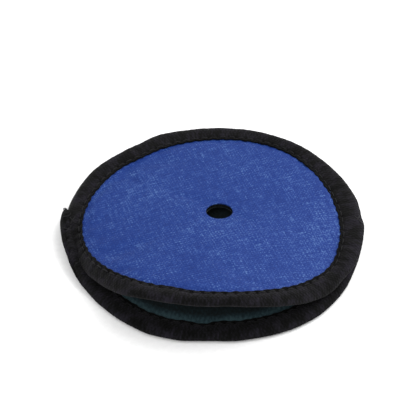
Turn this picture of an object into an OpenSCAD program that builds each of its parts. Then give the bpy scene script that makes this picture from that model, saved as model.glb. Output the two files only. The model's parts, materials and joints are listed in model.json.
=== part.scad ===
// Slip-on polishing pad: two round sewn panels, bound in tape. The upper panel's
// tape takes in the lower panel too round the back. The lower lip has a tape of
// its own, and the lips gape, so a backing plate slides in between them and the
// machine's spindle stands up through the centre hole.
// Millimetres. +Z up, the mouth faces -Y, the origin is on the surface that
// the pad lies on, under its middle.

/* [Overall] */
// Outer diameter over the binding
pad_d = 180; // [150:1:220]
// Visible width of the binding tape
bind_w = 12.2; // [8:0.2:16]
// Thickness of the binding tape
tape_t = 0.9; // [0.6:0.1:1]
// How far the upper panel's rim is set in from the lower one's
upper_inset = 1.4; // [1:0.1:3]

/* [Lower panel] */
// Depth of the working face's pile
pile_t = 2.4; // [1.6:0.1:3]
// Thickness of the lower foam
lower_foam_t = 4.2; // [3:0.1:5]
// Thickness of each lining
lining_t = 0.6; // [0.4:0.1:0.8]

/* [Upper panel] */
// Thickness of the woven face
face_t = 0.8; // [0.5:0.1:1]
// Thickness of the upper foam
upper_foam_t = 1.8; // [1.2:0.1:2]
// Diameter of the spindle hole
hole_d = 16; // [12:0.5:18]
// How far the spindle hole is sewn off the middle, to the right
hole_x = 3.5; // [0:0.5:4]
// Height of the face at the hole
mid_h = 18.5; // [17:0.5:20]
// How much lower the face is at its back edge than at the hole
back_drop = 5.7; // [5:0.1:6]
// How much higher the face is at its front edge than at the hole
front_rise = 11; // [8:0.5:12]
// How far the sides droop in line with the hole
side_droop = 5.7; // [5:0.1:6]
// Extra droop of the lip's front corners
corner_droop = 13; // [8:0.5:15]
// How much more the right corner droops than the left
corner_twist = 12; // [0:0.5:14]
// How much higher the back edge is on its right than on its left
back_twist = 4.4; // [0:0.2:5]

/* [Flex line] */
// Distance of the flex line in front of the hole's centre
flex_y = 20; // [19:0.5:24]
// Height of the flex line's axis
flex_z = 14.6; // [14:0.1:15]

/* [Stitching] */
// Distance between stitches
stitch_pitch = 6; // [5:0.5:12]
// Length of one stitch
stitch_len = 4; // [3:0.1:4.8]
// Diameter of the thread
thread_d = 0.7; // [0.4:0.1:0.9]

/* [Hidden] */

$fn = 128;
pad_r = pad_d / 2;
face_r = pad_r - bind_w - 0.7;         // edge of the face where it meets the tape
upper_r = pad_r - upper_inset;         // rim of the upper lip's binding
clear = 0.05;                          // gap between the tape's fold and the layers' edge
flex_gap = 0.3;                        // gap between the two sides of the flex line
squeeze_w = 4;                         // width over which the tape squeezes a panel
lip_t = 3.2;                           // layers of the lower lip, squeezed by its tape
upper_t = face_t + upper_foam_t + lining_t;
lower_top = pile_t + lower_foam_t + lining_t;
// lowest that the face may sag: just clear of the lower panel
face_floor = lower_top + upper_t + 0.4;
// rolled edge where the lip bends: it turns just clear of the lower panel
flex_r = flex_z - lower_top - 0.15;
stitch_r = face_r + bind_w * 0.3;      // radius of the seam, close to the inner edge
slack = 0.08;                          // gap between a stitch and the tape under it
far = 200;
tape_colour = "#232327";
thread_colour = "#101013";
face_colour = "#3c5398";
lining_colour = "#28454b";
foam_colour = "#1b1c1f";

// ---- the upper panel's surface -------------------------------------------

// Height of the woven face at a point: a sheet that slopes up from back to
// front and arches over its sides, more so towards the lip's front corners.
function face_h(x, y) =
    let (u = x / face_r, v = -y / face_r)
    let (slope = v > 0 ? front_rise * v : back_drop * v)
    let (arch = v > 0 ? side_droop + corner_droop * v : side_droop + 3 * v)
    let (twist = v > 0 ? corner_twist * v * v * u * abs(u) : back_twist * v * u)
    max(face_floor, mid_h + slope - arch * u * u - twist);

// rows and columns of the grid that the surface is built on
cell = 12;
rows = [for (y = [-8 * cell : cell : 8 * cell]) y];
cols = [for (x = [-8 * cell : cell : 8 * cell]) x];

// height of the built surface, which is flat between the grid's points
function sheet_h(x, y) =
    let (x0 = floor(x / cell) * cell, y0 = floor(y / cell) * cell)
    let (fx = (x - x0) / cell, fy = (y - y0) / cell)
    let (h00 = face_h(x0, y0), h11 = face_h(x0 + cell, y0 + cell))
    let (corner = fx > fy ? face_h(x0 + cell, y0) : face_h(x0, y0 + cell))
    fx > fy ? h00 + fx * (corner - h00) + fy * (h11 - corner)
            : h00 + fy * (corner - h00) + fx * (h11 - corner);

// A sheet over the whole grid, from `lo` to `hi` above the woven face. With
// `flat_base` set, its underside is a plane below the pad instead.
module arched(lo, hi, flat_base = false) {
    nx = len(cols);
    ny = len(rows);
    top = [for (y = rows) for (x = cols) [x, y, face_h(x, y) + hi]];
    base = [for (y = rows) for (x = cols) [x, y, flat_base ? -1 : face_h(x, y) + lo]];
    n = nx * ny;
    cells = [for (j = [0 : ny - 2]) for (i = [0 : nx - 2]) j * nx + i];
    up = [for (k = cells) for (t = [[k, k + nx + 1, k + 1], [k, k + nx, k + nx + 1]]) t];
    down = [for (k = cells) for (t = [[k, k + 1, k + nx + 1], [k, k + nx + 1, k + nx]]) t + [n, n, n]];
    edge = concat(
        [for (i = [0 : nx - 2]) i],
        [for (j = [0 : ny - 2]) j * nx + nx - 1],
        [for (i = [nx - 1 : -1 : 1]) (ny - 1) * nx + i],
        [for (j = [ny - 1 : -1 : 1]) j * nx]
    );
    m = len(edge);
    sides = [for (i = [0 : m - 1])
        let (a = edge[i], b = edge[(i + 1) % m])
        for (t = [[a, b, b + n], [a, b + n, a + n]]) t];
    polyhedron(concat(top, base), concat(up, down, sides));
}

// ---- cutting shapes --------------------------------------------------------

module disc(r) {
    translate([0, 0, -2]) cylinder(r = r, h = 60);
}

module band(outer, inner) {
    difference() {
        disc(outer);
        disc(inner);
    }
}

// everything in front of a line across the pad
module in_front_of(y) {
    translate([-far / 2, y - far, -far / 2]) cube(far);
}

// The lip's side of the flex line: all in front of it, and a rolled edge
// round the axis that the lip turns on.
module lip_side(grow = 0) {
    in_front_of(-flex_y);
    translate([0, -flex_y, flex_z])
        rotate([0, 90, 0])
            cylinder(r = flex_r + grow, h = far, center = true);
}

module keep_lip() {
    intersection() {
        children();
        lip_side();
    }
}

module keep_rear() {
    difference() {
        children();
        lip_side(flex_gap);
    }
}

// ---- thread -----------------------------------------------------------------

// one stitch: a straight length of thread from a to b
module stitch(a, b) {
    d = b - a;
    translate(a)
        rotate([0, acos(d[2] / norm(d)), atan2(d[1], d[0])])
            cylinder(d = thread_d, h = norm(d), $fn = 16);
}

function on_arc(r, a, z) = [r * cos(a), r * sin(a), z];

// A row of stitches along the rim, from angle `from` to angle `to`, lying on
// the tape. `top` is the height of the layers under the tape, or undef where
// the row follows the arched upper panel.
module stitch_row(from, to, top = undef) {
    step = stitch_pitch / stitch_r * 180 / PI;
    half = stitch_len / stitch_r * 90 / PI;
    lift = tape_t + thread_d / 2 + slack;
    for (a = [from + step / 2 : step : to - step / 2]) {
        p = on_arc(stitch_r, a - half, 0);
        q = on_arc(stitch_r, a + half, 0);
        hp = is_undef(top) ? crest(p, q, p) : top;
        hq = is_undef(top) ? crest(p, q, q) : top;
        stitch([p[0], p[1], hp + lift], [q[0], q[1], hq + lift]);
    }
}

// height at one end of a stitch from p to q, raised by as much as the sheet
// bulges between them
function crest(p, q, end) =
    let (hp = sheet_h(p[0], p[1]), hq = sheet_h(q[0], q[1]))
    let (bulge = [for (t = [0 : 0.125 : 1])
        let (m = p + t * (q - p))
        sheet_h(m[0], m[1]) - hp - t * (hq - hp)])
    (end == p ? hp : hq) + max(bulge) + thread_d / 4;

// ---- lower panel --------------------------------------------------------------

// A layer of the lower panel: full depth in the middle and round the back,
// squeezed between the tape's two sides along the front lip.
module lower_layer(lo, hi, lip_lo, lip_hi) {
    r = pad_r - tape_t - clear;
    rotate_extrude(angle = 180, start = 0)
        polygon([[0, lo], [face_r - squeeze_w, lo], [face_r, max(lo, tape_t)],
            [r, max(lo, tape_t)], [r, hi], [0, hi]]);
    rotate_extrude(angle = 180, start = 180)
        polygon([[0, lo], [face_r - squeeze_w, lo], [face_r, lip_lo],
            [r, lip_lo], [r, lip_hi], [face_r, lip_hi], [face_r - squeeze_w, hi], [0, hi]]);
}

lip_pile = 0.9;                        // squeezed depth of the pile in the lip
lip_pile_top = tape_t + lip_pile;
lip_foam_top = tape_t + lip_t - lining_t;
lip_top = tape_t + lip_t;

module working_face() {
    color("#1e1f22")
        lower_layer(0, pile_t, tape_t, lip_pile_top);
}

module lower_foam() {
    color(foam_colour)
        lower_layer(pile_t, pile_t + lower_foam_t, lip_pile_top, lip_foam_top);
}

module lower_lining() {
    color(lining_colour)
        lower_layer(pile_t + lower_foam_t, lower_top, lip_foam_top, lip_top);
}

// tape folded over the lower lip's edge
module lower_lip_binding() {
    inner = face_r;
    fold = pad_r - tape_t;
    round_r = tape_t;
    color(tape_colour)
        rotate_extrude(angle = 180, start = 180)
            polygon([[inner, 0], [pad_r - round_r, 0], [pad_r, round_r],
                [pad_r, lip_top + tape_t - round_r], [pad_r - round_r, lip_top + tape_t],
                [inner, lip_top + tape_t], [inner, lip_top], [fold, lip_top],
                [fold, tape_t], [inner, tape_t]]);
}

module lower_lip_stitching() {
    color(thread_colour) stitch_row(186, 354, lip_top);
}

// ---- rear binding -----------------------------------------------------------

// the upper panel's tape, folded round both panels from side to side
module rear_binding() {
    color(tape_colour)
        difference() {
            intersection() {
                arched(0, tape_t, flat_base = true);
                cylinder(r = pad_r, h = 60);
            }
            disc(face_r);
            in_front_of(0);
            difference() {
                intersection() {
                    arched(0, 0, flat_base = true);
                    disc(pad_r - tape_t);
                }
                translate([0, 0, -far + tape_t]) cylinder(r = pad_r, h = far);
            }
        }
}

module rear_stitching() {
    color(thread_colour) stitch_row(4, 176);
}

// ---- upper panel ----------------------------------------------------------------

// one layer of the upper panel, out to the fold of its tape
module upper_layer(lo, hi) {
    difference() {
        intersection() {
            arched(lo, hi);
            disc(upper_r - tape_t - clear);
        }
        translate([hole_x, 0, 0]) disc(hole_d / 2);
    }
}

module upper_lining_rear() {
    color(lining_colour) keep_rear() upper_layer(-upper_t, -upper_t + lining_t);
}

module upper_foam_rear() {
    color(foam_colour) keep_rear() upper_layer(-upper_t + lining_t, -face_t);
}

module upper_face_rear() {
    color(face_colour) keep_rear() upper_layer(-face_t, 0);
}

module upper_lining_lip() {
    color(lining_colour) keep_lip() upper_layer(-upper_t, -upper_t + lining_t);
}

module upper_foam_lip() {
    color(foam_colour) keep_lip() upper_layer(-upper_t + lining_t, -face_t);
}

module upper_face_lip() {
    color(face_colour) keep_lip() upper_layer(-face_t, 0);
}

// tape folded over the upper lip's edge, on both sides of the flex line
module lip_tape() {
    difference() {
        intersection() {
            arched(-upper_t - tape_t, tape_t);
            band(upper_r, face_r);
            in_front_of(-clear);
        }
        intersection() {
            arched(-upper_t, 0);
            disc(upper_r - tape_t);
        }
    }
}

module upper_lip_binding() {
    color(tape_colour) keep_lip() lip_tape();
}

module lip_binding_rear() {
    color(tape_colour) keep_rear() lip_tape();
}

module upper_lip_stitching() {
    start = asin(flex_y / stitch_r) + 2;
    color(thread_colour) stitch_row(180 + start, 360 - start);
}

// ---- ends of the lower lip's tape ------------------------------------------------

end_w = 9;                             // length of tape folded back at each end
end_lo = 2;                            // height of the end's lower edge
end_hi = 10;                           // height of its upper edge
fray_w = 3;                            // length of the left end that curls outwards
fray_out = 1.5;                        // how far the curled end stands out

// a strip of tape round the pad's outside, between two places along Y
module wrapped(inner, outer, from, to, side) {
    difference() {
        intersection() {
            translate([0, 0, end_lo]) cylinder(r = outer, h = end_hi - end_lo);
            translate([side > 0 ? 0 : -far, from, 0]) cube([far, to - from, far]);
        }
        disc(inner);
    }
}

// The lower lip's tape folded back against the side at both ends. The left end
// has frayed and curls outwards.
module lower_tape_ends() {
    on = pad_r + clear;
    color(tape_colour) {
        for (side = [-1, 1])
            wrapped(on, on + tape_t, 0, end_w, side);
        wrapped(on + tape_t, on + tape_t + fray_out, end_w - fray_w, end_w, -1);
    }
}

// short rows of thread across the tape, where the lips part
module end_bar_tacks() {
    rows_each = 4;
    from = 1;
    to = 5;
    color(thread_colour)
        for (side = [-1, 1])
            for (k = [0 : rows_each - 1]) {
                x = side * (stitch_r + 1.5 + 2 * k);
                lift = tape_t + thread_d / 2 + slack;
                p = [x, from];
                q = [x, to];
                stitch([x, from, crest(p, q, p) + lift], [x, to, crest(p, q, q) + lift]);
            }
}

working_face();
lower_foam();
lower_lining();
lower_lip_binding();
lower_lip_stitching();
rear_binding();
rear_stitching();
lower_tape_ends();
end_bar_tacks();
upper_lining_rear();
upper_foam_rear();
upper_face_rear();
lip_binding_rear();
upper_lining_lip();
upper_foam_lip();
upper_face_lip();
upper_lip_binding();
upper_lip_stitching();
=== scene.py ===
"""A slip-on polishing pad: two round sewn panels, bound in black tape.

The upper panel is a blue woven face on thin foam with a teal lining. The lower
panel is lining, foam and a short microfibre pile. The upper panel's tape takes
in the lower panel too round the back, and the lower lip has a tape of its own.
"""

import json
import math

import bmesh
import bpy
import numpy as np
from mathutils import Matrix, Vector, noise


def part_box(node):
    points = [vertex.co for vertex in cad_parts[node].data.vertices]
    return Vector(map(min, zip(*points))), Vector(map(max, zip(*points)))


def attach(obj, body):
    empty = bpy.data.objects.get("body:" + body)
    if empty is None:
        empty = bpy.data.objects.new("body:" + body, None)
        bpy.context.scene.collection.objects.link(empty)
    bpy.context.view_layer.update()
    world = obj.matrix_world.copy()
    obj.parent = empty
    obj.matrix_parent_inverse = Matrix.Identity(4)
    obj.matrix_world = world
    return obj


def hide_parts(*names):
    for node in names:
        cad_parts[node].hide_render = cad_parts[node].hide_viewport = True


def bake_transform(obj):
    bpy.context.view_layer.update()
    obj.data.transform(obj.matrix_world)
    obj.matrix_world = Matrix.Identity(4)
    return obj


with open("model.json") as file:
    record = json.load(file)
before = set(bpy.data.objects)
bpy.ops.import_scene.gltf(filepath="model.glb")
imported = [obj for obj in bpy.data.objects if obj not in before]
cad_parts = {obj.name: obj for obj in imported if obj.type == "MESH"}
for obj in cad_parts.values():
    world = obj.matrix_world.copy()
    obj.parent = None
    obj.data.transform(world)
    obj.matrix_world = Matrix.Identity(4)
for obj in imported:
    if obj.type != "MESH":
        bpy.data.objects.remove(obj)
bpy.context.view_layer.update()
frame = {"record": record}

MM = 0.001
DEG = math.pi / 180

# ---- sizes, in millimetres ---------------------------------------------------

hole = next(m for m in frame["record"]["mounts"] if m["name"] == "spindle_hole")
HOLE_R = hole["dims"]["r_mm"]
HOLE_X = hole["pos_m"][0] / MM                  # how far the hole is off the middle
PAD_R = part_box("rear_binding")[1].x / MM        # rim of the pad over its tape
TAPE_PUFF = 0.7           # how far the lip's tape puffs out past the frame's
LIP_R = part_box("upper_lip_binding")[1].x / MM + TAPE_PUFF   # rim of the upper lip
PILE_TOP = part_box("working_face")[1].z / MM
LINING_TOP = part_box("lower_lining")[1].z / MM
TAPE_W = 12.8             # from the rim to the tape's inner edge
FACE_R = PAD_R - TAPE_W   # edge of the face where it meets the tape
FACE_T = 0.8
LINING_T = 0.6
UPPER_T = 3.2             # face, foam and lining together
LAYER_GAP = 0.05          # between the lower foam and the layers over and under it
TUCK_R = LIP_R - 2.4      # how far the upper layers run on under the tape
LOWER_TUCK_R = PAD_R - 3.2

# the arched upper panel, as the frame has it
MID_H = 18.5
BACK_DROP = 5.7
BACK_TWIST = 4.4
FRONT_RISE = 11.0
SIDE_DROOP = 5.7
BACK_FLATTER = 3.0        # how much less the sides droop at the back
CORNER_DROOP = 13.0
CORNER_TWIST = 12.0
MIDDLE_EASE = 0.02        # how softly the slope changes at the middle
FLOOR_EASE = 0.6          # how softly the face comes down on the lower panel
PANEL_GAP = 0.4           # between the two panels where they lie closest
FACE_FLOOR = LINING_TOP + UPPER_T + PANEL_GAP

# how the rims turn at the corners of the mouth
CORNER_ROLL = 46 * DEG    # how far the left corner of the lip rolls over
ROLL_GROWS = (22 * DEG, 52 * DEG)
ROLL_FADES = (72 * DEG, 96 * DEG)
ROLL_WIDTH = 7.0          # of tape over which it rolls
CURL_LEFT = 5.6           # how far the lower rim curls up at each corner
CURL_RIGHT = 3.6

SEAM_IN = 2.1             # from the tape's inner edge to its row of stitches
STITCH_R = FACE_R + SEAM_IN
STITCH_PITCH = 6.0
STITCH_LEN = 3.9
THREAD_D = 0.7

MOUTH = 95 * DEG          # where the lips part, from the middle of the mouth
WHIPS = np.linspace(-93, -68, 5) * DEG    # whip stitches along the left corner
WHIP_PUCKER = 0.8 * DEG   # how far round the rim each one gathers the tape
AROUND = 560              # points round the whole rim
NOISE_SHIFT = 7.31        # sets the noise of one seed apart from the next
RIM_NOISE_R = 90.0        # radius at which the rims' noise is read


def ramp(x, a, b):
    """0 up to a, 1 from b, and smooth between them."""
    t = np.clip((x - a) / (b - a), 0, 1)
    return t * t * (3 - 2 * t)


def hump(x, middle, half):
    """1 in the middle, falling smoothly to 0 at half to each side."""
    return 1 - ramp(np.abs(x - middle), 0, half)


def face_height(x, y):
    """Height of the woven face: it slopes up to the mouth and arches over its
    sides, more so at the lip's corners."""
    u, v = x / FACE_R, -y / FACE_R
    fwd = (v + np.sqrt(v * v + MIDDLE_EASE)) / 2
    back = fwd - v
    slope = FRONT_RISE * fwd - BACK_DROP * back
    arch = SIDE_DROOP + CORNER_DROOP * fwd - BACK_FLATTER * back
    twist = CORNER_TWIST * fwd * fwd * u * np.abs(u) - BACK_TWIST * back * u
    h = MID_H + slope - arch * u * u - twist
    over = h - FACE_FLOOR
    return FACE_FLOOR + (over + np.sqrt(over * over + FLOOR_EASE)) / 2


def around(r, a):
    """The point at radius r and angle a, counted from the middle of the mouth
    and growing to the right."""
    return r * np.sin(a), -r * np.cos(a)


def speckle(x, y, scale, seed):
    """Smooth noise from -1 to 1, with features about scale wide."""
    x, y = np.broadcast_arrays(np.asarray(x, float), np.asarray(y, float))
    out = [noise.noise(Vector((p / scale, q / scale, seed * NOISE_SHIFT)))
           for p, q in zip(x.ravel(), y.ravel())]
    return np.array(out).reshape(x.shape)


def rim_speckle(a, scale, seed):
    """Smooth noise from -1 to 1 along the rim."""
    return speckle(RIM_NOISE_R * np.sin(a), RIM_NOISE_R * np.cos(a), scale, seed)


def humps(a, *each):
    """The sum of several humps round the rim. Each is its height in millimetres,
    and its middle and its half width in degrees."""
    return sum(height * hump(a, middle * DEG, half * DEG) for height, middle, half in each)


# ---- how the soft panels lie ---------------------------------------------------

def on_upper(r, a, h):
    """Radius and height of a point of the upper panel that is at radius r and
    angle a when the panel is flat, and h above its face. The lip's left corner
    rolls over."""
    roll = CORNER_ROLL * ramp(-a, *ROLL_GROWS) * (1 - ramp(-a, *ROLL_FADES))
    out = np.maximum(r - FACE_R, 0)
    turn = roll * ramp(out, 0, ROLL_WIDTH)
    x, y = around(r, a)
    z = face_height(x, y) - out * np.sin(turn) + h * np.cos(turn)
    return r - out * (1 - np.cos(turn)) + h * np.sin(turn), z


def curl(r, a):
    """How far the lower panel's rim curls up at the corners of the mouth, and
    a little round the back."""
    corner = ramp(np.abs(a), 48 * DEG, 86 * DEG)
    side = corner * (1 - 0.75 * ramp(np.abs(a), 100 * DEG, 140 * DEG))
    most = np.where(a < 0, CURL_LEFT, CURL_RIGHT)
    return side * (0.5 + most * ramp(r, FACE_R + 2, PAD_R))


def whip_pull(a):
    """1 where a whip stitch pulls in the upper tape's rim."""
    return sum(np.exp(-((a - at) / WHIP_PUCKER) ** 2) for at in WHIPS)


def upper_rim(a):
    """Radius of the upper tape's rim. It reaches the pad's own rim round the back,
    where it takes in the lower panel, and on the right, where it covers the
    lower tape. It is fuller at the back, and most at its left."""
    side = np.abs(a)
    slack = 0.45 * rim_speckle(a, 40, 2)
    left = ramp(-a, 105 * DEG, 125 * DEG) * (1 - ramp(-a, 165 * DEG, 180 * DEG))
    full = 1.6 * left + humps(a, (1.7, -158, 14), (1.1, 100, 25))
    taken_in = ramp(side, 86 * DEG, 100 * DEG)
    covered = 1.25 * ramp(a, 54 * DEG, 70 * DEG) * (1 - ramp(a, 86 * DEG, 100 * DEG))
    reach = (PAD_R - LIP_R) * np.maximum(taken_in, covered)
    return LIP_R + reach + full + humps(side, (2.9, 180, 36)) - whip_pull(a) + slack


def upper_edge(a):
    """Radius of the upper tape's inner edge: the seam wanders in and out, and
    the tape takes a deeper bite of the face on the right."""
    side = humps(a, (1.4, -80, 50), (-1.2, -143, 14), (-3.1, 108, 46))
    front = humps(a, (0.9, 6, 22), (-0.9, -18, 12), (0.8, 58, 14))
    return FACE_R + 0.3 + side + front


def lower_rim(a):
    """Radius of the lower tape's rim, which bulges at its ends, most at the left."""
    slack = 0.4 * rim_speckle(a, 36, 4)
    pulled = humps(a, (1.3, 0, 13), (0.7, -52, 14))
    full = humps(a, (0.9, -22, 20), (1.6, 38, 34))
    left_end = 1.9 * ramp(-a, 72 * DEG, 86 * DEG) + 1.2 * ramp(-a, 83 * DEG, 91 * DEG)
    right_end = 0.9 * ramp(a, 80 * DEG, 92 * DEG)
    return PAD_R - pulled + full + left_end + right_end + slack


def lower_edge(a):
    """Radius of the lower tape's inner edge, which is kinked near the middle."""
    return lower_rim(a) - TAPE_W + humps(a, (2.3, -4, 7))


def corner_groove(r, a):
    """Depth of the crease that the whip stitches pull into the lower tape at the
    left corner."""
    reach = ramp(-a, 50 * DEG, 62 * DEG) * (1 - ramp(-a, 89 * DEG, 94 * DEG))
    return (1.5 + 0.9 * whip_pull(a)) * reach * np.exp(-((r - upper_rim(a) - 0.8) / 1.0) ** 2)


def lower_squeeze(r, a):
    """1 where the tape squeezes the lower panel's lip, less round the back."""
    front = 1 - ramp(np.abs(a), 84 * DEG, 98 * DEG)
    return ramp(r, FACE_R - 9, FACE_R + 0.5) * (0.25 + 0.75 * front)


# ---- meshes -------------------------------------------------------------------

def mesh_from(name, verts, faces, uvs):
    """A smooth mesh object from points in millimetres, with its flat cloth."""
    mesh = bpy.data.meshes.new(name)
    mesh.from_pydata((np.asarray(verts) * MM).tolist(), [], faces)
    layer = mesh.uv_layers.new(name="cloth")
    layer.data.foreach_set("uv", (np.asarray(uvs, np.float32) * MM).ravel())
    mesh.polygons.foreach_set("use_smooth", [True] * len(mesh.polygons))
    bm = bmesh.new()
    bm.from_mesh(mesh)
    bmesh.ops.remove_doubles(bm, verts=bm.verts, dist=1e-7)
    bmesh.ops.recalc_face_normals(bm, faces=bm.faces)
    bm.to_mesh(mesh)
    bm.free()
    made = bpy.data.objects.new(name, mesh)
    bpy.context.scene.collection.objects.link(made)
    return made


def swept(points, flat, whole):
    """Faces of a solid swept round the pad, and where each corner lies on the
    flat cloth. points[i, j] is point j of the closed section at step i. whole
    joins the last step to the first; otherwise both ends are closed."""
    n, k = points.shape[:2]
    faces, uvs = [], []
    for i in range(n if whole else n - 1):
        i2 = (i + 1) % n
        for j in range(k):
            j2 = (j + 1) % k
            faces.append((i * k + j, i2 * k + j, i2 * k + j2, i * k + j2))
            uvs += [flat[i, j], flat[i + 1, j], flat[i + 1, j2], flat[i, j2]]
    if not whole:
        faces.append(tuple(range(k)))
        uvs += [flat[0, j] for j in range(k)]
        faces.append(tuple((n - 1) * k + j for j in reversed(range(k))))
        uvs += [flat[n - 1, j] for j in reversed(range(k))]
    return points.reshape(-1, 3), faces, uvs


def smooth_line(points, n):
    """n points along a smooth curve through the given ones, evenly spread."""
    p = np.array(points, float)
    p = np.vstack([2 * p[0] - p[1], p, 2 * p[-1] - p[-2]])
    out = []
    for a, b, c, d in zip(p, p[1:], p[2:], p[3:]):
        for t in np.linspace(0, 1, 24, endpoint=False):
            out.append(0.5 * (2 * b + (c - a) * t + (2 * a - 5 * b + 4 * c - d) * t ** 2
                              + (3 * b - a - 3 * c + d) * t ** 3))
    out = np.array(out + [p[-2]])
    along = np.r_[0, np.cumsum(np.linalg.norm(np.diff(out, axis=0), axis=1))]
    at = np.linspace(0, along[-1], n)
    return np.stack([np.interp(at, along, out[:, i]) for i in range(p.shape[1])], 1)


# ---- cloth simulation -------------------------------------------------------------

SIM_STEPS, SIM_RINGS = 168, 34    # points of the sheet round and across
SIM_FRAMES = 24


def slack_of(name, inner, outer, height, ease, push, most):
    """Lets a round sheet of cloth, sewn down at its rim and pushed up by the
    foam, settle into its own slack. It is cut larger by the share ease. Gives
    a function for how far it moved, at most `most`, at each radius and angle."""
    radii = np.linspace(inner, outer, SIM_RINGS)
    angles = np.linspace(-math.pi, math.pi, SIM_STEPS, endpoint=False)
    r, a = np.meshgrid(radii, angles)
    x, y = around(r, a)
    z = height(r, a) + 0.15 * speckle(x, y, 14, 9)
    mesh = bpy.data.meshes.new(name)
    faces = [(i * SIM_RINGS + j, i * SIM_RINGS + j + 1, i2 * SIM_RINGS + j + 1, i2 * SIM_RINGS + j)
             for i in range(SIM_STEPS) for i2 in [(i + 1) % SIM_STEPS] for j in range(SIM_RINGS - 1)]
    mesh.from_pydata((np.stack([x, y, z], -1).reshape(-1, 3) * MM).tolist(), [], faces)
    sheet = bpy.data.objects.new(name, mesh)
    bpy.context.scene.collection.objects.link(sheet)
    held = sheet.vertex_groups.new(name="sewn")
    sewn = [i * SIM_RINGS + j for i in range(SIM_STEPS) for j in (0, SIM_RINGS - 1)]
    held.add(sewn, 1.0, "REPLACE")
    cloth = sheet.modifiers.new("cloth", "CLOTH")
    settings = cloth.settings
    settings.quality = 8
    settings.mass = 0.05
    settings.tension_stiffness = settings.compression_stiffness = 20
    settings.shear_stiffness = 8
    settings.bending_stiffness = 1.5
    settings.vertex_group_mass = "sewn"
    settings.shrink_min = -ease
    settings.use_pressure = True
    settings.uniform_pressure_force = push
    settings.effector_weights.gravity = 0
    cloth.point_cache.frame_start, cloth.point_cache.frame_end = 1, SIM_FRAMES
    scene = bpy.context.scene
    for step in range(1, SIM_FRAMES + 1):
        scene.frame_set(step)
    settled = sheet.evaluated_get(bpy.context.evaluated_depsgraph_get()).to_mesh()
    co = np.zeros(len(settled.vertices) * 3)
    settled.vertices.foreach_get("co", co)
    moved = co.reshape(SIM_STEPS, SIM_RINGS, 3)[..., 2] / MM - height(r, a)
    bpy.data.objects.remove(sheet)
    bpy.data.meshes.remove(mesh)
    scene.frame_set(1)
    moved = most * np.tanh(moved / most)

    def at(r, a):
        s = np.clip((r - inner) / (outer - inner), 0, 1) * (SIM_RINGS - 1)
        t = ((a + math.pi) / (2 * math.pi) * SIM_STEPS) % SIM_STEPS
        s, t = np.broadcast_arrays(s, t)
        j = np.minimum(s.astype(int), SIM_RINGS - 2)
        i = t.astype(int) % SIM_STEPS
        i2, fs, ft = (i + 1) % SIM_STEPS, s - j, t - t.astype(int)
        low = moved[i, j] * (1 - ft) + moved[i2, j] * ft
        high = moved[i, j + 1] * (1 - ft) + moved[i2, j + 1] * ft
        return low * (1 - fs) + high * fs
    return at


# ---- discs of cloth and foam ---------------------------------------------------

def disc_layer(name, inner, outer, place, rings=46, steps=AROUND // 2, off=0.0):
    """A layer from radius inner to outer. place(r, a, top) gives the radius and
    height of its top or its underside. off shifts its inner edge to the right."""
    radii = inner + (outer - inner) * np.linspace(0, 1, rings)
    a = np.linspace(-math.pi, math.pi, steps, endpoint=False)[:, None]
    parts = []
    for r, top in ((radii, True), (radii[::-1], False)):
        rr, z = place(r[None, :], a, top)
        x, y = around(rr, a)
        x = x + off * (1 - ramp(r, inner + 1, 62))[None, :]
        parts.append(np.stack([x, y, z], -1))
    points = np.concatenate(parts, 1)
    flat = np.concatenate([points[..., :2], points[:1, :, :2]])
    return mesh_from(name, *swept(points, flat, True))


def stitch_beat(a):
    """1 at each stitch hole round the rim and 0 half way between two."""
    return 0.5 + 0.5 * np.cos(a * STITCH_R / STITCH_PITCH * 2 * math.pi)


def upper_layer(name, inner, above, below, rings=46, steps=AROUND // 2):
    """A layer of the upper panel between two depths under its face."""
    def place(r, a, top):
        x, y = around(r, a)
        free = ramp(r, HOLE_R, HOLE_R + 9) * (1 - ramp(r, FACE_R - 4, FACE_R + 2))
        slack = upper_slack(r, a) * (1 - ramp(r, FACE_R, FACE_R + 4))
        soft = free * (0.25 * speckle(x, y, 34, 3)) + slack
        tuck = ramp(r, FACE_R - 6, FACE_R) * (0.34 + 0.22 * stitch_beat(a))
        rolled = 0.25 * (1 - ramp(r, HOLE_R + 0.3, HOLE_R + 1.8))
        return on_upper(r, a, soft - tuck + rolled - (above if top else below))
    return disc_layer(name, inner, TUCK_R, place, rings, steps, HOLE_X)


def lower_layer(name, top_at, under_at, rings=46, steps=AROUND // 2):
    """A layer of the lower panel, between two heights."""
    def place(r, a, top):
        z = (top_at if top else under_at)(r, a) + curl(r, a)
        return r + 0 * a, z
    return disc_layer(name, 0, LOWER_TUCK_R, place, rings, steps)


def lining_height(r, a):
    """Height of the lining on the pocket's floor: squeezed down to the lip, with
    a low fold along the tape, and pressed flat under it."""
    x, y = around(r, a)
    free = 1 - ramp(r, FACE_R - 8, FACE_R)
    under_tape = ramp(r, FACE_R + 0.4, FACE_R + 2.8)
    fold = 0.8 * np.exp(-((r - FACE_R + 2.0 + 0.5 * speckle(x, y, 18, 7)) / 1.3) ** 2)
    squeezed = LINING_TOP - 3.1 * lower_squeeze(r, a)
    return squeezed - under_tape + fold + free * 0.25 * speckle(x, y, 30, 8)


def pile_height(r, a):
    """Height of the pile's tips above the table: small tufts, lifted along the
    rim where the tape runs under them."""
    x, y = around(r, a)
    tufts = 0.28 * speckle(x, y, 2.6, 11) + 0.12 * speckle(x, y, 1.4, 12)
    return (0.35 + tufts) * (1 - ramp(r, FACE_R - 2, FACE_R)) + 0.95 * ramp(r, FACE_R - 5, FACE_R)


# ---- binding tapes ---------------------------------------------------------------

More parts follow.
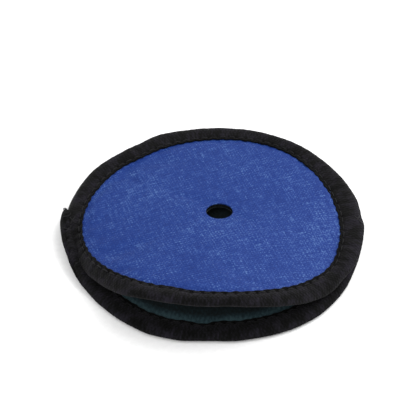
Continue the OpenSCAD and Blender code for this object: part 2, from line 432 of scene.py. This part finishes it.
# Each section runs from the tape's upper inner edge, over the rim and back
# underneath. A point is its distance in from the rim, its share of the upper
# panel, from 0 on the lower panel to 1, and its height above that panel.
LIP_SECTION = [
    (11.4, 1, -0.10), (11.35, 1, 0.45), (10.9, 1, 0.72), (10.2, 1, 0.72), (9.3, 1, 0.58),
    (7.6, 1, 1.10), (4.8, 1, 1.40), (2.3, 1, 0.95), (0.7, 1, -0.25), (0, 1, -1.6),
    (0.7, 1, -2.95), (2.3, 1, -4.0), (4.4, 1, -4.3), (6.6, 1, -4.15), (8.4, 1, -3.75),
    (9.8, 1, -3.95), (10.8, 1, -3.9), (11.35, 1, -3.6), (11.4, 1, -3.1)]
LIP_INSIDE = [(10.8, 1, -3.1), (2.4, 1, -3.15), (1.3, 1, -1.6), (2.4, 1, -0.1), (10.8, 1, -0.1)]
BACK_SECTION = [
    (12.8, 1, -0.10), (12.75, 1, 0.45), (12.3, 1, 0.72), (11.6, 1, 0.72), (10.7, 1, 0.58),
    (8.4, 1, 1.10), (5.0, 1, 1.45), (2.4, 1, 0.85), (0.8, 1, -0.6), (0.1, 0.8, -0.1),
    (0.5, 0.6, 0.0), (0.75, 0.5, 0.0), (0.3, 0.4, 0.0), (0.05, 0.22, 0.0), (0.7, 0.08, 0.0),
    (2.2, 0, 0.2), (5.0, 0, 0.02), (7.6, 0, 0.02), (9.8, 0, 0.3),
    (11.2, 0, 0.08), (12.2, 0, 0.1), (12.75, 0, 0.35), (12.8, 0, 0.85)]
BACK_INSIDE = [(12.2, 0, 0.9), (2.6, 0, 0.95), (1.6, 0.5, 0), (2.4, 1, -0.1), (12.2, 1, -0.1)]
LOWER_SECTION = [
    (12.8, 0, 3.9), (12.75, 0, 4.50), (12.3, 0, 4.80), (11.6, 0, 4.82), (10.7, 0, 4.70),
    (8.4, 0, 5.20), (5.0, 0, 5.4), (2.5, 0, 4.9), (0.7, 0, 3.8), (0, 0, 2.5),
    (0.6, 0, 1.2), (2.2, 0, 0.25), (5.0, 0, 0.02), (7.6, 0, 0.02), (9.8, 0, 0.3),
    (11.2, 0, 0.08), (12.2, 0, 0.1), (12.75, 0, 0.35), (12.8, 0, 0.85)]
LOWER_INSIDE = [(12.2, 0, 0.9), (2.6, 0, 0.95), (1.4, 0, 2.5), (2.6, 0, 4.0), (12.2, 0, 4.1)]
SECTION_POINTS = 64
CREASE_SQUASH = 0.35     # makes the gathers run across the tape
TAPE_END_LOW = 3.4       # lower and upper edge of the lower tape's folded ends
TAPE_END_TOP = 9.8
TAPE_END_T = 0.9


def tape_relief(along, inset, in_from_edge, seed):
    """How far the tape swells or sinks: pulled in at each stitch, puffed up
    between them, and gathered in small creases where it turns the rim."""
    beat = 0.5 + 0.5 * np.cos(along / STITCH_PITCH * 2 * math.pi)
    line = np.exp(-((in_from_edge - SEAM_IN) / 1.1) ** 2)
    puff = np.exp(-((inset - 5.4) / 2.8) ** 2)
    across = CREASE_SQUASH * inset
    crease = 0.30 * speckle(along, across, 2.6, seed) + 0.16 * speckle(along, across, 1.4, seed + 1)
    slow = 0.40 * speckle(along, inset, 13, seed + 2)
    dent = 0.75 * line * beat ** 3
    swell = 0.28 * puff * (1 - beat)
    return swell - dent + crease * (0.35 + 0.65 * puff) + slow


def tape(name, loops, start, stop, rim, edge, place, seed, whole=False):
    """A binding tape folded over the rim from angle start to stop. loops(a)
    gives its section at an angle, rim and edge its outer and inner radius, and
    place the radius and height of a point."""
    n = int(AROUND * (stop - start) / (2 * math.pi)) + (0 if whole else 1)
    a = np.linspace(start, stop, n, endpoint=not whole)
    loop = np.array([loops(angle) for angle in a])
    inset = loop[..., 0]
    angle = a[:, None] + 0 * inset
    along = angle * STITCH_R
    outside = np.arange(loop.shape[1]) < SECTION_POINTS
    scallop = 0.22 * (2 * stitch_beat(angle) - 1) + 0.5 * speckle(along, 0, 5, seed + 5)
    share = inset / inset.max(axis=1, keepdims=True)
    outer, inner = rim(a)[:, None], edge(a)[:, None]
    r0 = outer - (outer - inner) * share - scallop * ramp(share, 0.74, 0.90) * outside
    r, z = place(r0, angle, loop[..., 1], loop[..., 2])
    dr, dz = np.gradient(r, axis=1), np.gradient(z, axis=1)
    size = np.hypot(dr, dz)
    count = np.arange(loop.shape[1])
    fade = ramp(count, 0, 5) * (1 - ramp(count, SECTION_POINTS - 6, SECTION_POINTS - 1)) * outside
    lift = tape_relief(along, inset, r0 - inner, seed) * fade
    r, z = r - dz / size * lift, z + dr / size * lift
    x, y = around(r, angle)
    across = np.r_[0, np.cumsum(np.hypot(*np.diff(loop[0][:, [0, 2]], axis=0).T))]
    flat = np.stack([angle * PAD_R, np.broadcast_to(across, angle.shape)], -1)
    if whole:
        flat = np.concatenate([flat, flat[:1] + [2 * math.pi * PAD_R, 0]])
    points = np.stack([x, y, np.maximum(z, 0.0)], -1)
    return mesh_from(name, *swept(points, flat, whole))


def section(outline, inside):
    """A tape's closed section: its smooth outer side, then its inner side."""
    return np.vstack([smooth_line(outline, SECTION_POINTS), inside])


def upper_tape():
    """The ring round the upper panel, which takes in the lower panel at the back."""
    lip, back = section(LIP_SECTION, LIP_INSIDE), section(BACK_SECTION, BACK_INSIDE)

    def loops(a):
        m = ramp(abs(a), MOUTH - 1.5 * DEG, MOUTH + 2.5 * DEG)
        return lip * (1 - m) + back * m

    def place(r, a, share, h):
        upper_r, upper_z = on_upper(r, a, h)
        return share * upper_r + (1 - share) * r, share * upper_z + (1 - share) * (h + curl(r, a))
    return tape("upper_tape", loops, -math.pi, math.pi, upper_rim, upper_edge, place, 21, whole=True)


def lower_tape():
    """The tape of the lower lip, from one corner of the mouth to the other."""
    loop = section(LOWER_SECTION, LOWER_INSIDE)

    def place(r, a, share, h):
        return r, h + curl(r, a) - corner_groove(r, a) * ramp(h, 2.5, 4.5)
    return tape("lower_tape", lambda a: loop, -MOUTH - 1.5 * DEG, MOUTH + 1.0 * DEG,
                lower_rim, lower_edge, place, 41)


def tape_end(side, reach, flare, seed):
    """The lower tape's end, folded back against the side: points and faces of a
    strip that leans outwards by flare at its cut edge."""
    steps, rows = 20, 12
    rise = np.linspace(0, 1, rows)
    loop_s = np.r_[rise, rise[::-1]]
    loop_t = np.r_[np.ones(rows), np.zeros(rows)]
    t = np.linspace(0, 1, steps)[:, None]
    tucked = 6 * DEG
    a = MOUTH - tucked + (reach + tucked) * t
    ragged = 0.9 * DEG * speckle(loop_s[None, :] * 9, 0, 2.2, seed) * ramp(t, 0.7, 1)
    a = a + ragged
    past = ramp(a, MOUTH - 1 * DEG, MOUTH + 3 * DEG)
    base = lower_rim(side * np.minimum(a, MOUTH)) * (1 - past) + upper_rim(side * a) * past
    bend = flare * ramp(t, 0.5, 1) * (0.6 + 0.4 * loop_s) + 0.25 * speckle(a * 90, loop_s * 9, 5, seed)
    rounding = 1.6 * (2 * loop_s - 1) ** 4
    r = base - 0.5 + TAPE_END_T * loop_t + bend - rounding - 1.2 * (1 - t) ** 2
    low = TAPE_END_LOW + 0.8 * t
    high = TAPE_END_TOP - 0.8 * t
    z = low + (high - low) * loop_s
    x, y = around(r, side * a)
    points = np.stack([x, y, z + 0 * x], -1)
    flat = np.stack([a * PAD_R + 0 * r, z + 0 * r], -1)
    return swept(points, flat, False), points[-1]


def tape_ends():
    """Both folded ends as one piece, and the points of the left one's cut edge."""
    (left, left_faces, left_uvs), cut = tape_end(-1, 3.8 * DEG, 2.8, 51)
    (right, right_faces, right_uvs), _ = tape_end(1, 4.0 * DEG, 0.0, 55)
    n = len(left)
    faces = left_faces + [tuple(i + n for i in f) for f in right_faces]
    ends = mesh_from("lower_tape_cut_ends", np.vstack([left, right]), faces, left_uvs + right_uvs)
    return ends, cut


# ---- thread ------------------------------------------------------------------------

RUN_ON = 1.2              # how far a stitch runs on into its holes
UPPER_SEAM_H = 0.62       # height of the tape's seam above the face
LOWER_SEAM_H = 4.72       # and above the table, on the lower lip
WHIP_SWEEP = 1.1 * DEG    # half the slant of a whip stitch
YARNS = 18                # frayed yarns at the left cut end


def tubes(name, lines, radius, sides=8):
    """Thin round threads, one along each line of points."""
    verts, faces, uvs = [], [], []
    for line in lines:
        line = np.asarray(line, float)
        base, n = len(verts), len(line)
        along = np.gradient(line, axis=0)
        along /= np.linalg.norm(along, axis=1)[:, None]
        side = np.cross(along, [0.13, 0.07, 1.0])
        side /= np.linalg.norm(side, axis=1)[:, None]
        up = np.cross(side, along)
        taper = np.minimum(1, 0.4 + 1.6 * np.sin(np.linspace(0.1, math.pi - 0.1, n)))
        for i in range(n):
            for j in range(sides):
                w = 2 * math.pi * j / sides
                spoke = math.cos(w) * side[i] + math.sin(w) * up[i]
                verts.append(line[i] + radius * taper[i] * spoke)
        for i in range(n - 1):
            for j in range(sides):
                j2 = (j + 1) % sides
                faces.append((base + i * sides + j, base + i * sides + j2,
                              base + (i + 1) * sides + j2, base + (i + 1) * sides + j))
                uvs += [(i, j), (i, j + 1), (i + 1, j + 1), (i + 1, j)]
        for end in (0, n - 1):
            faces.append(tuple(base + end * sides + j for j in range(sides)))
            uvs += [(end, j) for j in range(sides)]
    return mesh_from(name, verts, faces, uvs)


def stitch_row(name, start, stop, edge, place):
    """A run of lockstitches on the tape's top, from one stitch hole to the next."""
    lines = []
    step = STITCH_PITCH / STITCH_R
    for k in range(math.ceil(start / step), math.floor(stop / step)):
        t = np.linspace(-0.5, 0.5, 9)
        a = (k + 0.5 + t * STITCH_LEN / STITCH_PITCH * RUN_ON) * step
        wander = 0.25 * speckle(k * 3.1, 0, 1, 61)
        r, z = place(edge(a) + SEAM_IN + wander, a)
        x, y = around(r, a)
        dip = 0.85 * np.abs(2 * t) ** 3
        lines.append(np.stack([x, y, z + 0.22 - dip], -1))
    return tubes(name, lines, THREAD_D / 2)


def upper_stitch_place(r, a):
    return on_upper(r, a, UPPER_SEAM_H)


def lower_stitch_place(r, a):
    return r, LOWER_SEAM_H + curl(r, a)


def bar_tacks():
    """A small cross of thread at each corner of the mouth, where the lips part."""
    lines = []
    for side in (-1, 1):
        for slant in (-1, 1):
            a = (side * 90 + slant * np.linspace(-1.9, 1.9, 9)) * DEG
            flat_r = upper_rim(a) - np.linspace(5.5, 2.0, 9)
            r, z = on_upper(flat_r, a, 1.35 + 0 * a)
            x, y = around(r, a)
            lines.append(np.stack([x, y, z], -1))
    return tubes("corner_bar_tacks", lines, THREAD_D / 2)


def whip_stitches():
    """Slanting threads that catch the upper tape's rim along the left corner."""
    lines = []
    for at in WHIPS:
        t = np.linspace(0, 1, 13)
        a = at + WHIP_SWEEP * (2 * t - 1)
        r, z = on_upper(upper_rim(a) - 2.4 * (1 - t), a, 1.1 - 2.0 * t * t)
        out = 2.6 * ramp(t, 0.3, 1)
        rest = 5.3 + curl(r + out, a) - 0.5 * corner_groove(r + out, a)
        share = ramp(t, 0.35, 0.9)
        x, y = around(r + out, a)
        lines.append(np.stack([x, y, z * (1 - share) + rest * share + 0.2], -1))
    return tubes("corner_whip_stitches", lines, THREAD_D / 2 * 1.2)


def loose_fibres(cut):
    """Frayed yarns that stand out from the left cut end."""
    lines = []
    n = len(cut) // 2
    for k in range(YARNS):
        root = cut[int((k + 0.5) / YARNS * n)]
        turn, rise = speckle(k, 0, 0.7, 71), speckle(k, 3, 0.7, 73)
        length = 0.9 + 0.9 * abs(float(speckle(k, 5, 0.7, 75)))
        t = np.linspace(0, 1, 7)[:, None]
        head = np.array([-0.75 + 0.4 * turn, 0.40, 0.25 + 0.7 * rise])
        droop = np.array([0.25 * rise, 0.0, -0.45]) * length * t * t
        lines.append(root + head * length * t + droop)
    return tubes("frayed_yarns", lines, 0.17, 6)


# ---- materials ------------------------------------------------------------------------

def rgb(hex_colour):
    """An sRGB hex colour as the linear colour that the shader takes."""
    out = []
    for i in (0, 2, 4):
        c = int(hex_colour[i:i + 2], 16) / 255
        out.append(c / 12.92 if c <= 0.04045 else ((c + 0.055) / 1.055) ** 2.4)
    return (*out, 1.0)


def add(mat, kind, inputs=None, **settings):
    """Adds a node with its settings, and fills or links its sockets. A node as
    an input gives its first output."""
    node = mat.node_tree.nodes.new(kind)
    for key, value in settings.items():
        setattr(node, key, value)
    for key, value in (inputs or {}).items():
        if isinstance(value, bpy.types.Node):
            value = value.outputs[0]
        if isinstance(value, bpy.types.NodeSocket):
            mat.node_tree.links.new(value, node.inputs[key])
        else:
            node.inputs[key].default_value = value
    return node


def new_material(name, roughness, ior, specular, sheen=0.0, sheen_roughness=0.5):
    """A material with only its shader, whose plain numbers are set directly."""
    mat = bpy.data.materials.new(name)
    mat.use_nodes = True
    bsdf = mat.node_tree.nodes["Principled BSDF"]
    bsdf.inputs["Roughness"].default_value = roughness
    bsdf.inputs["IOR"].default_value = ior
    bsdf.inputs["Specular IOR Level"].default_value = specular
    bsdf.inputs["Sheen Weight"].default_value = sheen
    bsdf.inputs["Sheen Roughness"].default_value = sheen_roughness
    return mat


def mixed(mat, *shares):
    """The sum of several (value, share) pairs, each value taken about a half."""
    total = 0.5
    for value, share in shares:
        part = add(mat, "ShaderNodeMath", {0: value, 1: share, 2: -share / 2},
                   operation="MULTIPLY_ADD")
        total = add(mat, "ShaderNodeMath", {0: part, 1: total}, operation="ADD")
    return total.outputs[0]


def on_cloth(mat, turn=0.0, scale=(1.0, 1.0)):
    """Where a point lies on the flat cloth, in millimetres times scale, along
    axes turned by turn."""
    uv = add(mat, "ShaderNodeUVMap", uv_map="cloth").outputs[0]
    size = (MM / scale[0], MM / scale[1], 1)
    return add(mat, "ShaderNodeMapping", {0: uv, "Rotation": (0, 0, turn), "Scale": size},
               vector_type="TEXTURE").outputs[0]


def in_space(mat, size):
    """A point's place on the object, in units of size millimetres."""
    place = add(mat, "ShaderNodeTexCoord").outputs["Object"]
    return add(mat, "ShaderNodeMapping", {0: place, "Scale": (1 / (size * MM),) * 3}).outputs[0]


def plain_weave(mat, threads):
    """Height of a plain weave, 0 to 1: each thread is a ridge that dives under
    its neighbours by turns."""
    waves, ridges = [], []
    for axis in add(mat, "ShaderNodeSeparateXYZ", {0: threads}).outputs[:2]:
        phase = add(mat, "ShaderNodeMath", {0: axis, 1: math.pi}, operation="MULTIPLY")
        wave = add(mat, "ShaderNodeMath", {0: phase}, operation="SINE")
        waves.append(wave)
        ridges.append(add(mat, "ShaderNodeMath", {0: wave}, operation="ABSOLUTE"))
    crossed = add(mat, "ShaderNodeMath", dict(enumerate(waves)), operation="MULTIPLY")
    over = add(mat, "ShaderNodeMath", {0: crossed, 1: 0.5, 2: 0.5}, operation="MULTIPLY_ADD")
    ridge = add(mat, "ShaderNodeMath", dict(enumerate(ridges)), operation="MAXIMUM")
    return add(mat, "ShaderNodeMath", {0: over, 1: ridge}, operation="MULTIPLY").outputs[0]


def cloth_flecks(mat, turn, scale, detail, rough=0.5):
    """Random flecks of the cloth, 0 to 1: about scale of them to a millimetre
    along each of two axes turned by turn, with finer ones mixed in."""
    place = on_cloth(mat, turn, scale)
    return add(mat, "ShaderNodeTexNoise", {"Vector": place, "Scale": 1.0, "Detail": detail,
                                           "Roughness": rough}).outputs[0]


def colours(mat, factor, *stops):
    """A colour ramp into the shader's base colour: stops are (position, hex)."""
    node = add(mat, "ShaderNodeValToRGB", {0: factor})
    elements = node.color_ramp.elements
    while len(elements) < len(stops):
        elements.new(0.5)
    for element, (at, colour) in zip(elements, stops):
        element.position = at
        element.color = rgb(colour)
    bsdf = mat.node_tree.nodes["Principled BSDF"]
    mat.node_tree.links.new(node.outputs[0], bsdf.inputs["Base Color"])


def surface(mat, height, depth, strength=0.6, roughness=None):
    """Bump of depth millimetres, and roughness where it varies."""
    bsdf = mat.node_tree.nodes["Principled BSDF"]
    bump = add(mat, "ShaderNodeBump", {"Height": height, "Strength": strength, "Distance": depth * MM})
    mat.node_tree.links.new(bump.outputs[0], bsdf.inputs["Normal"])
    if roughness is not None:
        mat.node_tree.links.new(roughness, bsdf.inputs["Roughness"])


WEAVE_TURN = 21 * DEG    # the face was cut a little off its threads


def coated_nylon():
    """Plain-woven nylon with a thin coating: a crosshatch of threads, some paler
    and some darker, and small painted glints where the palest flecks turn greyer."""
    mat = new_material("coated_woven_nylon", 0.7, 1.53, 0.12)
    # the real threads are about 0.4 mm apart; drawn at 1.2 mm so that they show
    weave = plain_weave(mat, on_cloth(mat, WEAVE_TURN, (1 / 1.2, 1 / 1.2)))
    warp = cloth_flecks(mat, WEAVE_TURN, (0.11, 1.15), 3.0, 0.6)
    weft = cloth_flecks(mat, WEAVE_TURN, (1.15, 0.11), 3.0, 0.6)
    grain = cloth_flecks(mat, 0.4, (1.1, 1.1), 2.0)
    cloud = cloth_flecks(mat, 0.0, (0.022, 0.022), 2.0)
    tone = mixed(mat, (warp, 0.9), (weft, 0.8), (grain, 0.5), (cloud, 0.3), (weave, 0.16))
    # partly real paler threads and partly painted glints: the palest stop is greyer than the blue
    colours(mat, tone, (0.18, "0d2765"), (0.44, "152f70"), (0.56, "1b3678"), (0.84, "4d6a9c"))
    gloss = add(mat, "ShaderNodeMath", {0: grain, 1: -0.5, 2: 0.86}, operation="MULTIPLY_ADD")
    relief = mixed(mat, (weave, 0.8), (warp, 0.8), (weft, 0.8), (grain, 0.6))
    surface(mat, relief, 0.3, 0.6, gloss.outputs[0])
    return mat


def binding_tape():
    """Woven polyester binding tape: matt black, with fine ribs across it, lint,
    greyer rubbed patches, and painted shade that darkens it along the seam at its inner edge."""
    mat = new_material("woven_binding_tape", 0.95, 1.5, 0.08, 0.03)
    # real ribs are about 0.5 mm apart; drawn at 1.1 mm so that they show
    weave = plain_weave(mat, on_cloth(mat, 0.0, (1 / 1.1, 1 / 1.8)))
    lint = cloth_flecks(mat, 0.3, (0.9, 0.9), 4.0, 0.6)
    ribs = cloth_flecks(mat, 0.0, (0.8, 0.12), 3.0)
    worn = cloth_flecks(mat, 0.0, (0.09, 0.13), 3.0)
    # painted shade: the tape is darker within about 3.6 mm of its inner edge, where the seam's groove
    # lies in shadow
    across = add(mat, "ShaderNodeSeparateXYZ", {0: on_cloth(mat)}).outputs["Y"]
    painted_seam_shade_ramp = add(mat, "ShaderNodeMapRange", {"Value": across, "From Min": 1.2,
                                             "From Max": 3.6}).outputs[0]
    tone = mixed(mat, (lint, 0.5), (ribs, 0.7), (worn, 0.9), (weave, 0.12), (painted_seam_shade_ramp, 0.26))
    colours(mat, tone, (0.30, "020202"), (0.56, "090909"), (0.86, "1c1a21"))
    surface(mat, mixed(mat, (weave, 0.7), (lint, 0.9), (ribs, 0.5)), 0.35, 0.7)
    return mat


def brushed_lining():
    """Brushed warp-knit lining: soft teal, with faint wales and a short nap, and
    painted light that makes it paler along the tape, where it catches the light."""
    mat = new_material("brushed_knit_lining", 0.95, 1.5, 0.08, 0.12)
    wales = plain_weave(mat, on_cloth(mat, 8 * DEG, (1 / 1.4, 1 / 2.2)))
    nap = cloth_flecks(mat, 0.0, (0.7, 0.7), 5.0, 0.65)
    cloud = cloth_flecks(mat, 0.0, (0.05, 0.05), 2.0)
    # painted light: the lining is paler over the last few millimetres before the tape, out of the
    # lip's shade
    radius = add(mat, "ShaderNodeVectorMath", {0: on_cloth(mat)}, operation="LENGTH")
    painted_rim_light = add(mat, "ShaderNodeMapRange", {"Value": radius.outputs["Value"],
                                              "From Min": FACE_R - 4.5,
                                              "From Max": FACE_R - 0.5}).outputs[0]
    tone = mixed(mat, (nap, 0.7), (wales, 0.12), (cloud, 0.4), (painted_rim_light, 0.4))
    colours(mat, tone, (0.26, "0e1618"), (0.50, "17252a"), (0.74, "2c3e43"))
    surface(mat, tone, 0.4)
    return mat


def open_foam():
    """Open-cell polyurethane foam: charcoal, with cells about 1 mm wide."""
    mat = new_material("open_cell_foam", 0.95, 1.5, 0.08)
    cells = add(mat, "ShaderNodeTexVoronoi", {"Vector": in_space(mat, 1.0),
                                              "Scale": 1.0}).outputs["Distance"]
    colours(mat, cells, (0.1, "08080a"), (0.6, "151619"), (0.95, "202126"))
    surface(mat, cells, 0.4, 0.8)
    return mat


def microfibre_pile():
    """Short split microfibre pile: dark grey tufts with a soft nap."""
    mat = new_material("microfibre_pile", 1.0, 1.5, 0.08, 0.35)
    tufts = add(mat, "ShaderNodeTexNoise", {"Vector": in_space(mat, 2.4), "Scale": 1.0,
                                            "Detail": 5.0, "Roughness": 0.7}).outputs[0]
    colours(mat, tufts, (0.3, "0e0f12"), (0.5, "1c1d21"), (0.7, "2f3036"))
    surface(mat, tufts, 0.8, 0.9)
    return mat


def spun_thread():
    """Spun polyester thread: black, twisted, a little glossier than the tape."""
    mat = new_material("spun_polyester_thread", 0.6, 1.5, 0.2)
    twist = add(mat, "ShaderNodeTexWave", {"Vector": in_space(mat, 1.2), "Scale": 1.0,
                                           "Distortion": 2.0}).outputs[1]
    colours(mat, twist, (0.2, "040405"), (0.8, "111114"))
    surface(mat, twist, 0.15, 0.4)
    return mat


def backdrop_paper():
    """White backdrop paper, with a trace of its fibres."""
    mat = new_material("backdrop_paper", 0.9, 1.5, 0.1)
    fibres = add(mat, "ShaderNodeTexNoise", {"Vector": in_space(mat, 3.0), "Scale": 1.0,
                                             "Detail": 3.0, "Roughness": 0.5}).outputs[0]
    colours(mat, fibres, (0.3, "f8f8f8"), (0.7, "fdfdfd"))
    return mat


nylon, black_tape, teal = coated_nylon(), binding_tape(), brushed_lining()
charcoal_foam, pile, thread = open_foam(), microfibre_pile(), spun_thread()


# ---- the pad ----------------------------------------------------------------------------

def dress(obj, mat, slot, *nodes):
    """Gives a piece its finish, and hides the frame nodes it stands for."""
    obj.data.materials.append(mat)
    if nodes:
        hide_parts(*nodes)
    return obj


upper_slack = slack_of("face_slack", HOLE_R, FACE_R, lambda r, a: on_upper(r, a, 0)[1],
                       ease=0.008, push=0.6, most=0.9)
lower_slack = slack_of("lining_slack", 2.0, FACE_R, lining_height, ease=0.02, push=0.8, most=1.1)


def lining_top(r, a):
    """Height of the pocket's floor with its slack, which the tape holds at its rim."""
    free = 1 - ramp(r, FACE_R - 2, FACE_R + 2)
    return lining_height(r, a) + np.maximum(lower_slack(r, a), -0.6) * free


def lining_underside(r, a):
    return lining_top(r, a) - LINING_T


def cushion_top(r, a):
    return lining_top(r, a) - LINING_T - LAYER_GAP


def cushion_underside(r, a):
    return PILE_TOP + LAYER_GAP - 0.7 * ramp(r, FACE_R - 9, FACE_R)


def pile_top(r, a):
    return PILE_TOP - 0.6 * ramp(r, FACE_R - 9, FACE_R) + 0 * a


face = dress(upper_layer("woven_face", HOLE_R, 0.0, FACE_T, 72, AROUND),
             nylon, "face_weave", "upper_face_rear", "upper_face_lip")
foam_top, foam_underside = FACE_T + 0.02, UPPER_T - LINING_T - 0.02
padding = dress(upper_layer("upper_padding", HOLE_R + 0.15, foam_top, foam_underside),
                charcoal_foam, "foam", "upper_foam_rear", "upper_foam_lip")
inner_cloth = dress(upper_layer("pocket_roof_lining", HOLE_R, UPPER_T - LINING_T, UPPER_T),
                    teal, "lining", "upper_lining_rear", "upper_lining_lip")
upper_ring = dress(upper_tape(), black_tape, "tape",
                   "upper_lip_binding", "lip_binding_rear", "rear_binding")
upper_seam = dress(stitch_row("upper_tape_stitches", -math.pi, math.pi,
                              upper_edge, upper_stitch_place),
                   thread, "thread", "upper_lip_stitching", "rear_stitching")
tacks = dress(bar_tacks(), thread, "thread", "end_bar_tacks")
whips = dress(whip_stitches(), thread, "thread")

floor_cloth = dress(lower_layer("pocket_floor_lining", lining_top, lining_underside, 60),
                    teal, "lining", "lower_lining")
cushion = dress(lower_layer("lower_padding", cushion_top, cushion_underside),
                charcoal_foam, "foam", "lower_foam")
polisher = dress(lower_layer("pile_face", pile_top, pile_height, 84, AROUND),
                 pile, "pile", "working_face")
lower_ring = dress(lower_tape(), black_tape, "tape", "lower_lip_binding")
lower_seam = dress(stitch_row("lower_tape_stitches", -88 * DEG, 88 * DEG,
                              lower_edge, lower_stitch_place),
                   thread, "thread", "lower_lip_stitching")
cut_ends, cut = tape_ends()
dress(cut_ends, black_tape, "tape", "lower_tape_ends")
yarns = dress(loose_fibres(cut), black_tape, "tape")

# bake the upper pieces' placing into their meshes, and hang the lower pieces from the pad's body
for piece in (face, padding, inner_cloth, upper_ring, upper_seam, whips):
    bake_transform(piece)
for piece in (floor_cloth, cushion, polisher, lower_ring, lower_seam, cut_ends, yarns, tacks):
    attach(piece, "pad")


# ---- studio ---------------------------------------------------------------------------------

def studio():
    """A white floor, a bright world and two soft lamps."""
    half, just_below = 4.0, -0.0002
    corners = [(-half, -half), (half, -half), (half, half), (-half, half)]
    mesh = bpy.data.meshes.new("floor")
    mesh.from_pydata([(x, y, just_below) for x, y in corners], [], [(0, 1, 2, 3)])
    floor = bpy.data.objects.new("floor", mesh)
    bpy.context.scene.collection.objects.link(floor)
    floor.data.materials.append(backdrop_paper())

    world = bpy.data.worlds.new("studio")
    bpy.context.scene.world = world
    world.use_nodes = True
    sky = world.node_tree.nodes["Background"]
    sky.inputs["Color"].default_value = (1, 1, 1, 1)
    sky.inputs["Strength"].default_value = 0.9

    for name, place, size, power in (("soft_overhead", (0.65, 0.30, 0.80), 1.2, 11.0),
                                     ("soft_front", (-0.15, -0.75, 0.95), 0.7, 3.5)):
        light = bpy.data.lights.new(name, "AREA")
        light.shape, light.size, light.energy = "DISK", size, power
        lamp = bpy.data.objects.new(name, light)
        lamp.location = place
        lamp.rotation_mode = "QUATERNION"
        lamp.rotation_quaternion = (Vector((0, 0, 0.01)) - Vector(place)).to_track_quat("-Z", "Y")
        bpy.context.scene.collection.objects.link(lamp)


def camera():
    """The viewer stands in front of the mouth and looks down at the pad."""
    elevation, distance, look_at = 42 * DEG, 0.684, Vector((0, 0, 0.010))
    data = bpy.data.cameras.new("viewer")
    data.lens, data.sensor_width = 96.9, 36
    data.shift_x, data.shift_y = -0.0083, 0.0293
    cam = bpy.data.objects.new("viewer", data)
    back = Vector((0, -math.cos(elevation), math.sin(elevation)))
    cam.location = look_at + back * distance
    cam.rotation_mode = "QUATERNION"
    cam.rotation_quaternion = (-back).to_track_quat("-Z", "Y")
    bpy.context.scene.collection.objects.link(cam)
    bpy.context.scene.camera = cam


studio()
camera()
bpy.context.scene.view_settings.view_transform = "Standard"
